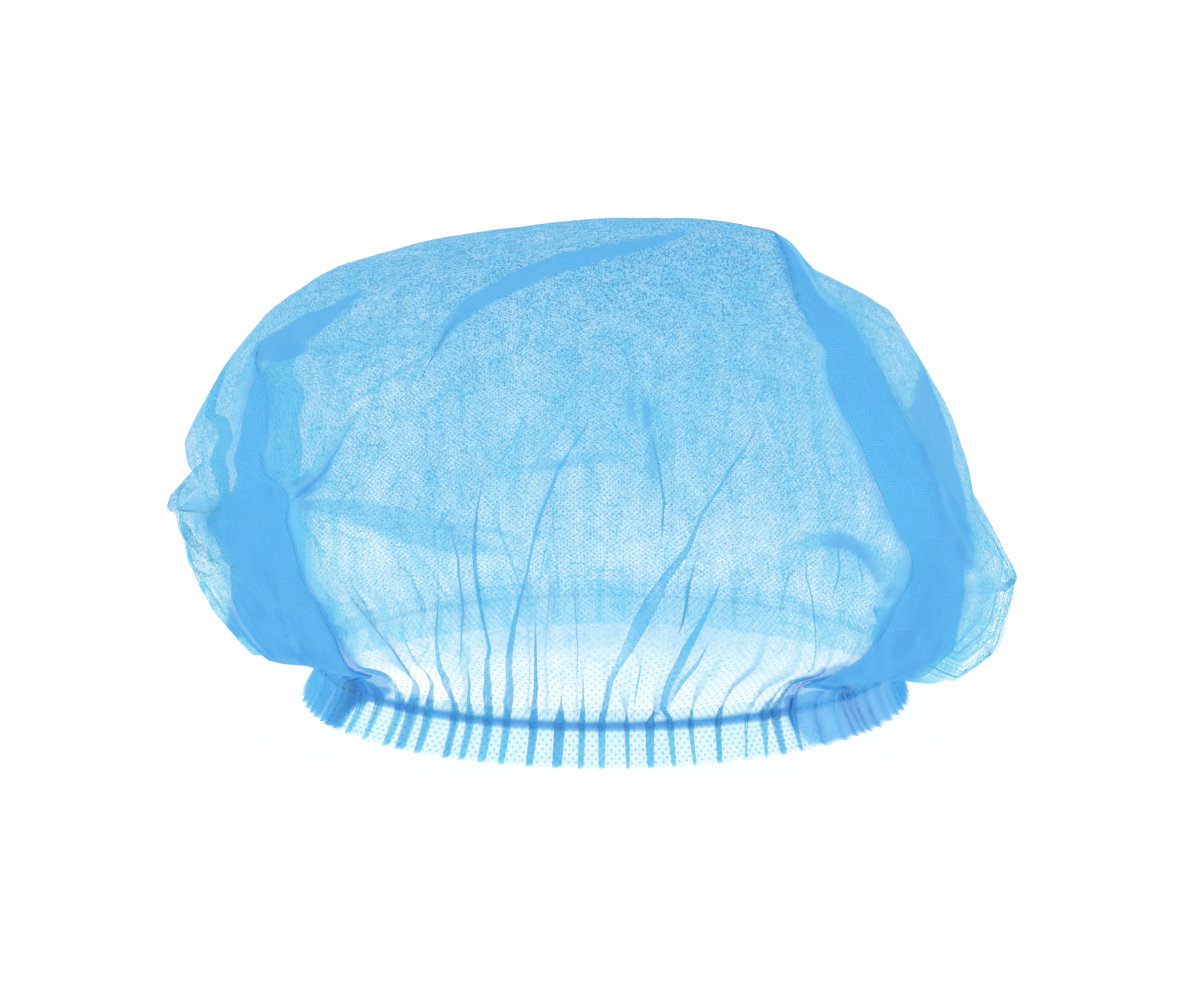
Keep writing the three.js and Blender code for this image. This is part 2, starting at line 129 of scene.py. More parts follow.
# Finer folds: name, own, width in millimetres, lap as a share of the width, height, path
fineLaps = [
    ("leftDart", -42, 7, 0.42, 0.8,
     [(0, -44.6, 0), (2, -43.5, 0), (4, -42, 0), (6.5, -46, 0), (7, -44, 1), (7.5, -39.5, 1),
      (8, -37.2, 0.8), (8.5, -36.2, 0.5), (9, -36, 0)]),
    ("leftSlant", -37.5, 7, 0.42, 0.9,
     [(0, -40, 0), (1.1, -40, 0), (1.6, -38, 1), (2.8, -32.8, 1), (3.3, -32.8, 0.9), (4.4, -36.3, 0.7),
      (5.2, -38.5, 0)]),
    ("leftSlantBeside", -34, 3.2, 0.38, 0.5,
     [(0, -36, 0), (1.1, -36, 0), (1.4, -34.8, 1), (2.6, -30.3, 1), (3.5, -30, 0.8), (4.4, -30.6, 0)]),
    ("leftThin", -31.5, 3.2, 0.38, 0.5,
     [(0, -33, 0), (1.1, -33, 0), (1.4, -32.6, 1), (3, -26.8, 0.9), (4.3, -23.2, 0.8), (5.1, -22, 0.7),
      (6.2, -21.8, 0)]),
    ("leftShort", -29.5, 3, 0.36, 0.5,
     [(6.4, -22.5, 0), (7, -22.8, 0.9), (8, -23.8, 0.7), (8.5, -24, 0)]),
    ("leftUpright", -27.5, 4.6, 0.37, 0.6,
     [(0, -29, 0), (1.1, -29, 0), (1.7, -28, 1), (3.2, -22.2, 0.9), (4, -20, 1), (5.1, -19.2, 0.9),
      (6.2, -19.8, 0.6), (7.3, -20, 0)]),
    ("middleUpright", -22.5, 4.4, 0.37, 0.6,
     [(0, -23.5, 0), (1.1, -23.5, 0), (1.9, -22.4, 0.9), (3.2, -17.6, 0.8), (4, -17.4, 0.9), (5, -17, 1),
      (6, -16.2, 0.9), (7, -16, 0.7), (8, -15, 0)]),
    ("longSlant", -17.3, 5.4, 0.39, 0.7,
     [(0, -18.5, 0), (1.1, -18.5, 0), (1.7, -17.8, 1), (3, -14.5, 1), (3.8, -12.6, 0.9), (4.7, -10.2, 0.7),
      (5.9, -8.2, 0.85), (7.2, -6, 0.8), (8.2, -2.5, 0.7), (8.8, -1, 0)]),
    ("longSlantBeside", -15, 4.4, 0.38, 0.6,
     [(0, -16, 0), (1.1, -16, 0), (1.7, -15.4, 1), (2.9, -12, 0.9), (3.5, -11.4, 0.6), (4.1, -11, 0)]),
    ("thinLeftOfMiddle", -10.4, 3.2, 0.36, 0.5,
     [(0, -11, 0), (1.1, -11, 0), (1.8, -10.2, 1), (3.3, -8.4, 0.9), (4.4, -7.2, 0.9), (5.2, -6.8, 0)]),
    ("thinMiddle", -5.5, 3.2, 0.36, 0.5,
     [(0, -6, 0), (1.1, -6, 0), (1.8, -5.4, 1), (3.1, -4, 0.9), (4.2, -4, 0.8), (5, -4.8, 0)]),
    ("upperMiddle", -2, 3.6, 0.38, 0.5,
     [(5.2, 7.6, 0), (5.7, 8, 0.8), (6.4, 8.6, 1), (7.4, 8, 0.8), (8.4, 7, 0)]),
    ("broadSlant", 1, 13, 0.44, 1.3,
     [(0, 0.5, 0), (1.1, 0.5, 0), (2.35, 1.2, 0.5), (3.1, 3.4, 0.72), (3.66, 5, 0.86), (4.2, 6.6, 0.84),
      (4.6, 7.8, 0.68), (5.39, 11.5, 0.56), (6.23, 14.5, 0.5), (7.26, 19, 0.5), (8.1, 24, 0.46),
      (8.7, 27.5, 0)]),
    ("shortRight", 5.8, 3, 0.36, 0.5,
     [(0, 6.4, 0), (1.1, 6.4, 0), (1.8, 6, 1), (2.9, 5.8, 0.7), (3.3, 6, 0)]),
    ("thinRight", 8.4, 3, 0.36, 0.5,
     [(3, 10, 0), (3.8, 11, 0.9), (4.6, 11.2, 0.9), (5.4, 12.8, 0)]),
    ("rightSlant", 11, 7.5, 0.42, 1.0,
     [(0, 11.5, 0), (1.1, 11.5, 0), (1.4, 11, 1), (2.4, 11.2, 1), (3.2, 12.2, 1), (3.7, 13.5, 0.75),
      (4.5, 15.2, 0.55), (5, 16, 0)]),
    ("rightSlantBeside", 13.6, 3.2, 0.38, 0.5,
     [(1.6, 13.2, 0.5), (2.4, 13.7, 1), (2.9, 14.6, 0.9), (3.8, 16, 0)]),
    ("swirlOuter", 29, 3.2, 0.36, 0.4,
     [(2.3, 34, 0), (2.9, 33.6, 0.7), (4.3, 29.5, 0.8), (4.9, 27.6, 0.8), (5.4, 28, 0.6), (5.7, 30, 0)]),
    ("swirlMiddle", 33.5, 4, 0.36, 0.5,
     [(4.3, 32, 0), (4.7, 32, 0.6), (5.2, 33, 0.8), (5.6, 34, 0.6), (5.8, 35, 0)]),
    ("swirlInner", 37, 4, 0.36, 0.5,
     [(4.4, 37, 0), (4.8, 36.4, 0.6), (5.2, 36.6, 0.8), (5.5, 37, 0.6), (5.7, 38, 0)]),
    ("topTail", -32.8, 4, 0.36, 0.5,
     [(8.9, -28.4, 0), (9.44, -28, 0.8), (9.9, -27.8, 0.9), (10.5, -28, 0.8), (11.1, -28, 0)]),
    ("leftEarRib", -79, 14, 0.16, 1.1,
     [(0, -76, 0), (1.1, -76, 0.3), (2.2, -77, 1), (3.6, -77, 1), (4.6, -79, 0.4), (5.6, -82, 0)]),
    ("leftEarBack", -98, 10, 0.43, 1.3,
     [(0, -96, 0), (4.8, -108, 0), (5.3, -112, 0.8), (5.7, -113, 1), (6.5, -111.5, 1), (7.6, -110.7, 1),
      (8.6, -101, 0.9), (9.1, -97, 0)]),
    ("rightEarRib", 77, 13, 0.14, 0.9,
     [(0, 75, 0), (1.1, 75, 0.3), (2.2, 76, 1), (3.4, 76, 1), (4.3, 79, 0.5), (5.2, 82, 0)]),
    ("rightEarBack", 97, 8, 0.2, 0.8,
     [(0, 92, 0), (1.1, 92, 0.3), (2.2, 94, 0.7), (4, 97, 0.5), (5.6, 98, 0)]),
    ("backUpright", 168, 5, 0.38, 0.6,
     [(0, 168, 0), (1.1, 168, 0.3), (1.7, 168, 0.5), (5, 170, 0.4), (8.2, 172, 0)]),
]

# Folds that run round the cap, written the same way, but their path rows are azimuth, level there and amount
crossLaps = [
    ("leftEarTuck", 9, 0.4, 1.2,
     [(-104, 6.4, 0), (-96, 6.2, 0.7), (-88, 6.05, 0.9), (-78, 5.7, 1), (-68, 5.3, 1), (-58, 5, 0)]),
    ("leftEarTop", 5, 0.4, 0.9,
     [(-100, 6.2, 0), (-88, 6.15, 0.9), (-78, 6.1, 1), (-68, 6.2, 0.6), (-60, 6.3, 0)]),
    ("leftEarCrease", 3.4, 0.38, 0.6,
     [(-98, 4.6, 0), (-88, 4.8, 0.9), (-72, 4.85, 1), (-60, 4.8, 0)]),
    ("leftEarCreaseHigh", 3.2, 0.38, 0.6,
     [(-100, 5.3, 0), (-90, 5.2, 1), (-76, 5.5, 0.7), (-68, 5.5, 0)]),
    ("rightEarTuck", 10, 0.42, 1.2,
     [(68, 4.9, 0), (74, 5, 0.8), (80, 5.05, 0.8), (86, 5, 0.3), (92, 4.9, 0)]),
    ("rightEarCrease", 3.4, 0.38, 0.6,
     [(62, 4.4, 0), (70, 4.2, 1), (84, 3.6, 0.9), (96, 3.5, 0)]),
    ("backFold", 12, 0.15, 1.8,
     [(128, 10.2, 0), (150, 10.2, 0.9), (170, 9.8, 1), (190, 9.4, 0.8), (214, 9, 0)]),
    ("backMid", 6, 0.15, 1.0,
     [(140, 6, 0), (158, 6.4, 0.9), (180, 6, 0.8), (200, 6.3, 0)]),
]

# Where the cloth lies bunched and lets less light through: name, how soft the edges are in degrees, and rows
# of level, azimuth from, azimuth to, how much. Where the amount is below zero it lies looser than elsewhere.
upStrips = [
    ("leftBand", 1,
     [(7, -59, -50, 0.2), (7.5, -57.8, -50.8, 0.22), (8.28, -59.8, -52, 0.22), (8.85, -66.2, -57.2, 0.25),
      (9.19, -71, -62, 0.4), (9.54, -75.2, -67, 0.5), (9.76, -74, -68, 0.5), (10, -76, -70, 0)]),
    ("leftBandBeside", 1,
     [(6.9, -52, -42.5, 0.3), (7.5, -51, -43.6, 0.25), (8.28, -52, -44.8, 0.25), (8.85, -57.5, -48.5, 0.25),
      (9.24, -63, -51.5, 0.28), (9.83, -70, -58.2, 0.3), (10, -72, -60, 0)]),
    ("leftMass", 1.2,
     [(0, -86, -61, 0.4), (0.5, -88, -60, 0.45), (0.9, -88, -54, 0.5), (1.2, -86, -47.5, 0.6),
      (1.46, -84, -46, 0.65), (2.2, -80, -43.5, 0.5), (3, -72, -41, 0.5), (3.35, -76, -41, 0.5),
      (3.63, -80, -41, 0.45), (4.37, -65.5, -40.8, 0.5), (4.99, -57, -42.3, 0.5), (5.51, -60, -41, 0.5),
      (5.98, -67, -40.4, 0.5), (6.4, -76, -40, 0.5), (6.6, -70, -41, 0.45), (7, -60, -42.5, 0.3),
      (7.4, -58, -44, 0)]),
    ("leftMassBehind", 1.5,
     [(0.6, -112, -92, 0), (1.2, -114, -92, 0.15), (2.2, -116, -90, 0.25), (3.1, -121, -93, 0.25),
      (3.6, -126, -99, 0.25), (4.2, -126, -106, 0.25), (4.6, -126, -108, 0.2), (5.4, -128, -114, 0)]),
    ("rightBand", 1,
     [(7.2, 44, 62, 0.3), (7.6, 43.4, 61, 0.35), (8.45, 42, 61, 0.35), (9.2, 42.5, 60.5, 0.35),
      (10, 46.5, 62, 0.4), (10.4, 48.8, 68, 0.5), (10.85, 56.2, 80, 0.55), (11.27, 61.8, 90, 0.6),
      (11.69, 65.8, 92, 0.65), (12.11, 74, 93, 0.7), (12.33, 86, 94, 0.7), (12.6, 90, 94, 0)]),
    ("rightEarBand", 1,
     [(5.4, 60, 65, 0.6), (6, 60, 70.5, 0.7), (6.6, 60, 75.2, 0.75), (7.39, 60, 74.8, 0.75),
      (8, 61, 78.5, 0.8), (8.45, 61, 83, 0.8), (8.8, 72, 87.5, 0.75), (9.05, 86, 90, 0.5),
      (9.1, 87, 90, 0)]),
    ("rightMass", 1,
     [(0, 45, 76, 0.35), (0.22, 41.2, 86, 0.45), (0.67, 38.5, 90, 0.45), (1.21, 36.5, 86, 0.5),
      (1.66, 35.8, 80, 0.6), (2.3, 36, 70, 0.55), (3, 35, 56, 0.5), (3.34, 39.2, 55.2, 0.5),
      (3.93, 40.2, 57.5, 0.5), (4.67, 40.2, 58.5, 0.5), (5.21, 43.6, 59, 0.5), (5.68, 47.5, 66, 0.5),
      (6.7, 45.5, 64, 0.35), (7.4, 44, 61, 0)]),
    ("rightMassBehind", 1.5,
     [(0.8, 92, 108, 0), (1.2, 92, 112, 0.15), (2, 95, 118, 0.25), (3.1, 103, 125, 0.25),
      (4.1, 111, 127, 0.25), (4.5, 112, 132, 0.25), (5.1, 108, 137, 0.2), (6.1, 106, 138, 0.2),
      (7.1, 121, 139.5, 0.2), (8.6, 124, 139.5, 0.2), (9.6, 120, 138, 0)]),
    ("topBand", 1,
     [(10, -29, -28.2, 0.4), (10.45, -29.6, -26.6, 0.7), (11.1, -30.3, -25.2, 0.9),
      (11.6, -30.8, -22.3, 0.9), (12.2, -29.5, -16.5, 0.9), (12.5, -28.3, -12, 0.95),
      (12.87, -26.3, -1.4, 1), (13.3, -22, 18.5, 1), (13.52, -2.5, 46, 1), (13.77, 18, 76, 0.9),
      (13.88, 26, 90, 0)]),
    ("leftWedge", 1,
     [(9.5, -76, -62, 0.3), (9.76, -76, -57, 0.7), (10.18, -71.2, -56.8, 0.85), (10.53, -69.8, -54.8, 0.9),
      (10.87, -63.2, -55.4, 0.9), (11.29, -65, -60, 0.8), (11.7, -67.2, -64.4, 0)]),
    ("leftEarLight", 3,
     [(3.2, -90, -80, 0), (3.7, -96, -80, -0.2), (4.4, -98, -68, -0.24), (5.2, -98, -62, -0.24),
      (5.8, -96, -70, -0.2), (6.3, -94, -80, -0.1), (6.6, -92, -82, 0)]),
    ("leftEarUpper", 3,
     [(6.4, -96, -62, 0), (7, -98, -60, -0.14), (8, -98, -64, -0.14), (8.8, -96, -76, 0)]),
    ("rightEarLight", 3,
     [(2.6, 68, 92, 0), (3.2, 64, 94, -0.22), (4.2, 63, 98, -0.26), (5.2, 66, 98, -0.26),
      (5.9, 77, 96, -0.16), (6.6, 82, 92, 0)]),
    ("rightTriangle", 2, [(8.8, 62, 70, 0), (9.3, 63, 84, -0.1), (10, 66, 90, -0.12), (10.8, 86, 92, 0)]),
    ("broadSlantLight", 0.4,
     [(2, 0.2, 1.6, 0), (2.6, 1, 2.9, -0.1), (3.66, 4, 6, -0.18), (4.42, 6.6, 8.6, -0.18),
      (5.39, 10.8, 12.2, 0)]),
    ("windowLeft", 3,
     [(1.3, -46, -32, 0), (1.8, -45, -30, -0.2), (2.4, -40, -30, -0.2), (2.9, -38, -28, 0)]),
    ("besideSash", 3, [(4.8, -40, -30, 0), (5.4, -41, -26, -0.2), (6, -42, -34, -0.2), (6.5, -42, -38, 0)]),
    ("middleLow", 6, [(2.9, -20, 20, 0), (3.4, -20, 22, 0.16), (4.2, -20, 22, 0.13), (4.9, -18, 20, 0)]),
    ("rightNotchLight", 2,
     [(5.4, 42, 46, 0), (5.8, 40, 47, -0.15), (6.6, 38, 45, -0.12), (7.4, 36, 43, 0)]),
    ("swirlRayA", 0.5,
     [(4.5, 29.4, 30.4, 0), (5, 29.6, 31.4, 0.2), (5.4, 31.4, 33.8, 0.35), (5.65, 32, 34.6, 0.2)]),
    ("swirlRayB", 0.5,
     [(4.7, 35.4, 36.2, 0), (5.15, 34.6, 35.8, 0.2), (5.4, 34.8, 36.4, 0.35), (5.65, 34.6, 37, 0.2)]),
    ("leftDart", 0.6,
     [(6.7, -45, -43.4, 0.4), (7, -46, -40, 0.6), (7.36, -44.8, -39.4, 0.6), (7.6, -42, -38.4, 0.6),
      (8, -38.6, -37, 0.5), (8.6, -36.6, -35.6, 0.3), (8.9, -35.6, -35, 0)]),
    ("shoulderRayA", 0.5,
     [(8.65, -42, -41.2, 0), (9, -37.2, -36.2, 0.6), (9.5, -32.8, -31.8, 0.65), (10.03, -28.6, -27.8, 0.6),
      (10.1, -28, -27, 0)]),
    ("shoulderRayB", 0.5,
     [(8.95, -50.8, -49.6, 0), (9.3, -43.6, -42.6, 0.5), (9.73, -37.8, -36.8, 0.6), (10, -31.6, -30.6, 0)]),
    ("shoulderRayC", 0.5,
     [(9.1, -30.4, -29.6, 0), (9.3, -30, -29.2, 0.5), (9.96, -29.2, -28.4, 0.65), (10.1, -29, -28, 0)]),
    ("middleStreakA", 0.6,
     [(8.2, 3.4, 4.8, 0), (8.5, 3.4, 5.2, 0.5), (9, 3.8, 5.4, 0.45), (9.5, 4.2, 5.2, 0)]),
    ("middleStreakB", 0.7,
     [(7.9, 5.8, 7, 0), (8.3, 5.9, 7.9, 0.7), (8.8, 6.2, 8.2, 0.6), (9.3, 6.6, 7.8, 0)]),
    ("middleStreakC", 0.6,
     [(6.7, 6.4, 7.6, 0), (7.2, 6.6, 8.4, 0.7), (7.8, 6.4, 8.4, 0.7), (8.2, 6.2, 7.4, 0)]),
    ("middleStreakD", 0.6,
     [(7.3, 9.6, 10.6, 0), (7.7, 9.2, 11, 0.6), (8.3, 9.2, 11.2, 0.55), (9, 10, 11.4, 0)]),
    ("middleVeil", 2, [(7.6, -6, 9, 0), (8.6, -6, 8, 0.1), (10, -6, 6, 0.12), (11.4, -8, 4, 0)]),
    ("rightStreak", 1.5, [(8.4, 31, 34, 0), (8.9, 30, 33, 0.2), (9.5, 28, 31.5, 0.2), (10, 27, 29, 0)]),
    ("upperPatch", 3, [(10.6, 22, 27, 0), (11.2, 21, 28, 0.3), (12.2, 19, 26, 0.35), (12.8, 20, 26, 0)]),
    ("rightUpper", 14, [(7.5, 10, 40, 0), (9.5, 5, 42, 0.1), (11.5, 2, 50, 0.14), (13.4, 0, 60, 0)]),
    ("leftThin", 4, [(5, -38, -28, 0), (7, -40, -24, -0.1), (9, -44, -26, -0.14), (10.6, -48, -34, 0)]),
]
# The same for strips that run round the cap: softness in levels, and rows of azimuth, level from, level to,
# amount
roundStrips = [
    ("sash", 0.07,
     [(-44, 6.45, 6.7, 0.3), (-42, 6.35, 6.7, 0.35), (-35, 6.15, 6.62, 0.42), (-27, 5.58, 6.37, 0.42),
      (-21.3, 5.31, 5.98, 0.4), (-17.3, 5.19, 5.68, 0.3), (-14, 5.2, 5.45, 0.25), (-10, 5, 5.2, 0.15),
      (-8, 4.6, 4.9, 0)]),
    ("swirl", 0.06,
     [(24, 5.4, 5.5, 0), (27, 5.46, 5.62, 0.2), (29.5, 5.44, 5.72, 0.4), (32, 5.56, 5.86, 0.6),
      (35.5, 5.54, 5.94, 0.7), (37.4, 5.34, 5.86, 0.7), (39, 4.9, 5.76, 0.65), (40.5, 4.6, 5.64, 0.45),
      (43, 4.9, 5.44, 0.3), (46, 4.8, 5.2, 0)]),
    ("swirlUnder", 0.05,
     [(22, 4.5, 4.6, 0), (24, 4.46, 4.6, 0.25), (28, 4.24, 4.4, 0.3), (32, 3.96, 4.12, 0.25),
      (34, 3.6, 3.8, 0)]),
    ("sashTail", 0.05,
     [(-22, 5.8, 5.94, 0), (-19, 5.76, 5.9, 0.35), (-16, 5.72, 5.86, 0.4), (-13.8, 5.64, 5.78, 0.4),
      (-11.8, 5.5, 5.66, 0.35), (-10.5, 5.3, 5.5, 0.3), (-9.6, 5, 5.3, 0)]),
    ("leftStreak", 0.08,
     [(-16, 6.9, 7, 0), (-11, 7.12, 7.28, 0.3), (-5.5, 7.25, 7.5, 0.35), (0.8, 7.4, 7.64, 0.35),
      (6, 7.5, 7.66, 0)]),
    ("shoulderLine", 0.05,
     [(-64, 9.6, 9.75, 0.4), (-59.5, 9.75, 9.92, 0.5), (-50, 9.82, 10, 0.5), (-42, 9.95, 10.12, 0.5),
      (-33, 10.18, 10.34, 0.3), (-29, 10.25, 10.4, 0)]),
    ("rightEarShelf", 0.05,
     [(58, 4.9, 5.1, 0.35), (71, 4.95, 5.25, 0.3), (88, 4.95, 5.15, 0.3), (94, 4.9, 5.05, 0)]),
    ("rightEarCreaseA", 0.05,
     [(66, 4.6, 4.7, 0), (72, 4.1, 4.2, 0.3), (80, 3.4, 3.5, 0.3), (86, 2.9, 3, 0)]),
    ("rightEarCreaseB", 0.05,
     [(70, 5.35, 5.42, 0), (80, 5.2, 5.28, 0.25), (90, 5.05, 5.12, 0.25), (94, 5, 5.1, 0)]),
    ("leftEarCreaseC", 0.04, [(-92, 3.9, 3.98, 0.25), (-80, 4.06, 4.14, 0.3), (-64, 4.4, 4.46, 0)]),
    ("leftEarCreaseA", 0.04, [(-92, 4.95, 5.02, 0.25), (-82, 4.95, 5.05, 0.3), (-67, 5.36, 5.44, 0)]),
    ("leftEarCreaseB", 0.04, [(-92, 4.34, 4.4, 0.25), (-82, 4.38, 4.46, 0.3), (-60, 4.75, 4.82, 0)]),
]
# Soft dents and ridges: from azimuth and level to azimuth and level, height and half width
creaseRows = [
    ("sash", -42, 6.5, -14, 5.3, 1.4, 0.35),
    ("topCorner", 102, 12.45, 78, 12.3, 1.6, 0.3),
    ("leftShoulder", -52, 9.6, -60, 11.6, 1.8, 0.3),
    ("rightBrow", 102, 11.1, 76, 11.05, -2.0, 0.4),
    ("leftEarPinch", -66, 6.9, -106, 7.0, -3.5, 0.3),
    ("rightEarPinch", 66, 6.5, 106, 6.4, -2.0, 0.4),
    ("backDent", 175, 8, -165, 8.4, -3.0, 1.1),
]
degreesPerLevel = 6
scattered = {
    "count": 34,
    "seed": 17,
    "width": (2.6, 4.6),
    "share": 0.38,
    "top": (2.8, 6.5),
    "drift": 5,
    "clear": 4,  # degrees kept free beside the listed folds
    "bareAt": 21,
    "bareFrom": 62,  # none at the two ends
    "bareTo": 116,
}
crumple = {
    "from": (1.9, 3.5),  # the levels over which it sets in
    "coarse": 1.3,  # heights in millimetres
    "fine": 0.6,
    "rising": 1.2,
    "coarseSize": 46,  # millimetres of flat cloth
    "fineSize": 17,
    "risingWaves": (0.16, 0.42),  # to a degree and to a level
    "risingAt": 3.4,
    "risingSpread": 2.4,
    "front": 0.6,  # how much of it there is in front, and how much more at the ears
    "ears": 0.35,
    "earsTop": (6.5, 9),
}


def wrapDegrees(a):
    return (a + 180) % 360 - 180


def easeStep(x, low, high):
    t = np.clip((x - low) / (high - low), 0, 1)
    return t * t * (3 - 2 * t)


def ringPoint(index, azimuth):
    rings = np.vstack([np.array(ringRows, float), np.zeros(8)])
    row = rings[np.clip(index, 0, len(ringRows))]
    side, ahead = np.sin(np.radians(azimuth)), np.cos(np.radians(azimuth))
    reachX = np.where(side < 0, row[..., 0], row[..., 2])
    sideZ = np.where(side < 0, row[..., 1], row[..., 3])
    reachY = np.where(ahead > 0, row[..., 4], row[..., 6])
    endZ = np.where(ahead > 0, row[..., 5], row[..., 7])
    point = np.stack([reachX * side, -reachY * ahead, sideZ * side**2 + endZ * ahead**2], -1)
    return np.where((index >= len(ringRows))[..., None], np.array(peak, float), point)


def formPoint(azimuth, level):
    # a spline up the cap through the rings, straighter from ring to ring at the ears
    below = np.minimum(np.floor(level).astype(int), len(ringRows) - 1)
    t = (level - below)[..., None]
    p, q, r, s = [ringPoint(below + k, azimuth) for k in (-1, 0, 1, 2)]
    spline = 0.5 * (2 * q + (r - p) * t + (2 * p - 5 * q + 4 * r - s) * t**2 + (3 * q - p - 3 * r + s) * t**3)
    angular = cloth["angularSides"] * easeStep(np.abs(np.sin(np.radians(azimuth))), 0.7, 0.98)
    angular = (angular * easeStep(level, 2, 3) * (1 - easeStep(level, 11, 13)))[..., None]
    return spline + (q + (r - q) * t - spline) * angular


def clothLengths(step=0.05, turn=15):
    # the average length up the cloth from the hem to each level
    levels = np.arange(0, 15 + step / 2, step)
    azimuths, at = np.meshgrid(np.arange(-180, 180, float(turn)), np.minimum(levels, 14.999))
    climbs = np.linalg.norm(np.diff(formPoint(azimuths, at), axis=0), axis=-1).mean(1)
    return levels, np.concatenate([[0], np.cumsum(climbs)])


lengthLevels, lengthsUp = clothLengths()
print("cloth from hem to top:", round(lengthsUp[-1]), "mm")


def flatRadius(level):
    # how far a level of the cloth lies from the middle when the cap is laid flat
    return cloth["flatDiameter"] / 2 * (1 - np.interp(level, lengthLevels, lengthsUp) / lengthsUp[-1])


def onDisc(radius, own):
    # where a point lies on the disc of cloth before it was gathered
    return np.stack([radius * np.sin(np.radians(own)), -radius * np.cos(np.radians(own))], -1)


def alongPath(path, place, column):
    table = np.array(path, float)
    return np.interp(place, table[:, 0], table[:, column])


def noise2(x, y, seed):
    # smooth random bumps about one unit across, from -1 to 1
    random = np.random.default_rng(seed)
    turn = random.uniform(0, 2 * np.pi, (256, 256))
    gx, gy = np.cos(turn), np.sin(turn)
    x0, y0 = np.floor(x).astype(int), np.floor(y).astype(int)
    fx, fy = x - x0, y - y0
    ux, uy = fx * fx * fx * (fx * (fx * 6 - 15) + 10), fy * fy * fy * (fy * (fy * 6 - 15) + 10)

    def corner(i, j):
        a, b = (x0 + i) % 256, (y0 + j) % 256
        return gx[a, b] * (fx - i) + gy[a, b] * (fy - j)

    low = corner(0, 0) * (1 - ux) + corner(1, 0) * ux
    high = corner(0, 1) * (1 - ux) + corner(1, 1) * ux
    return 1.5 * (low * (1 - uy) + high * uy)


def creased(x, y, seed):
    # sharp-edged crumple: flat facets meeting at ridges
    return 0.5 - np.abs(noise2(x, y, seed)) - 0.5 * np.abs(noise2(2.1 * x + 7, 2.1 * y + 3, seed + 1))


def scatteredLaps():
    # thin folds all round the cap, where no fold is listed
    random = np.random.default_rng(scattered["seed"])
    taken = [lap["own"] for lap in wideLaps] + [row[1] for row in fineLaps] + [scattered["bareAt"]]
    laps = []
    for k in range(scattered["count"]):
        own = -180 + (k + random.uniform(0.2, 0.8)) * 360 / scattered["count"]
        width, top = random.uniform(*scattered["width"]), random.uniform(*scattered["top"])
        drift = random.uniform(-1, 1) * scattered["drift"]
        atEnd = scattered["bareFrom"] < abs(own) < scattered["bareTo"]
        if atEnd or min(abs(wrapDegrees(own - a)) for a in taken) < scattered["clear"]:
            continue
        path = [(0, own, 0), (1.7, own, 1), (0.5 + 0.6 * top, own, 0.9), (top, own, 0)]
        laps.append((f"scattered{k}", own, width, scattered["share"], 0.5, path, drift))
    return laps


allFineLaps = [row + (0,) for row in fineLaps] + scatteredLaps()
anchors = [(lap["own"], lap["path"]) for lap in wideLaps] + [(row[1], row[5]) for row in fineLaps]
anchors.sort(key=lambda anchor: anchor[0])


def turnAt(own, level):
    # how far the cloth turns round the cap at this level, so that every fold keeps to its path
    owns = [a[0] for a in anchors]
    at = []
    for ownAt, path in anchors:
        rows = path if path[-1][0] > 12 else path + [(12.6, ownAt, 0)]
        rows = rows if path[0][0] == 0 else [(path[0][0] - 2.5, ownAt, 0)] + rows
        azimuth = float(alongPath(rows, level, 1))
        if at:
            # folds never cross
            azimuth = max(azimuth, at[-1] + cloth["foldSpacing"] * (ownAt - owns[len(at) - 1]))
        at.append(azimuth)
    turns = np.array(at) - np.array(owns)
    owns = np.array([owns[-1] - 360] + owns + [owns[0] + 360], float)
    turns = np.concatenate([turns[-1:], turns, turns[:1]])
    place = wrapDegrees(own)
    low = np.clip(np.searchsorted(owns, place, "right") - 1, 0, len(owns) - 2)
    share = easeStep(place, owns[low], owns[low + 1])
    return turns[low] + (turns[low + 1] - turns[low]) * share


def ownColumns(count):
    # columns round the hem, closer together at the folds and in front
    grid = np.linspace(-180, 180, 7201)
    front = easeStep(-np.abs(grid), -125, -95)
    density = cloth["backShare"] + (1 - cloth["backShare"]) * front
    for row in allFineLaps:
        near = np.exp(-((wrapDegrees(grid - row[1]) / cloth["columnsReach"]) ** 2))
        density += cloth["columnsEase"] * near * (0.4 + 0.6 * front)
    total = np.concatenate([[0], np.cumsum((density[1:] + density[:-1]) / 2)])
    return np.interp(np.arange(count) / count * total[-1], total, grid)


def gatherPhase(own):
    # uneven gathers, the same number all round
    phase = own / 360 * cloth["gathers"]
    slow = noise2(phase * 0.4, np.full_like(phase, 0.5), 5)
    quick = noise2(phase * 1.7, np.full_like(phase, 3.5), 6)
    return 2 * np.pi * (phase + (0.22 * slow + 0.06 * quick) * np.sin(np.radians(own + 180) / 2))


def lapHalf(amount):
    # half the width over which a lap lies three deep, as a share of the cloth it takes up
    if amount < 0.17:
        return 0
    bend = math.acos(-1 / (2 * math.pi * amount)) / (2 * math.pi)
    return amount * math.sin(2 * math.pi * bend) + bend - 0.5


def lapWave(t):
    return np.where((t > 0) & (t < 1), np.sin(2 * np.pi * t), 0)


def stripBunch(rows, place, across, soft):
    # how much cloth one strip bunches at each point
    table = np.array(rows, float)
    low, high, amount = [np.interp(place, table[:, 0], table[:, k]) for k in (1, 2, 3)]
    inside = easeStep(across, low - soft, low + soft) * (1 - easeStep(across, high - soft, high + soft))
    within = (place >= table[0, 0]) & (place <= table[-1, 0])
    return np.where(within, amount * inside, 0)


def middleLayer(t):
    # the part of a lap that lies folded between the other two
    return np.exp(-(((t - 0.5) / 0.17) ** 4))


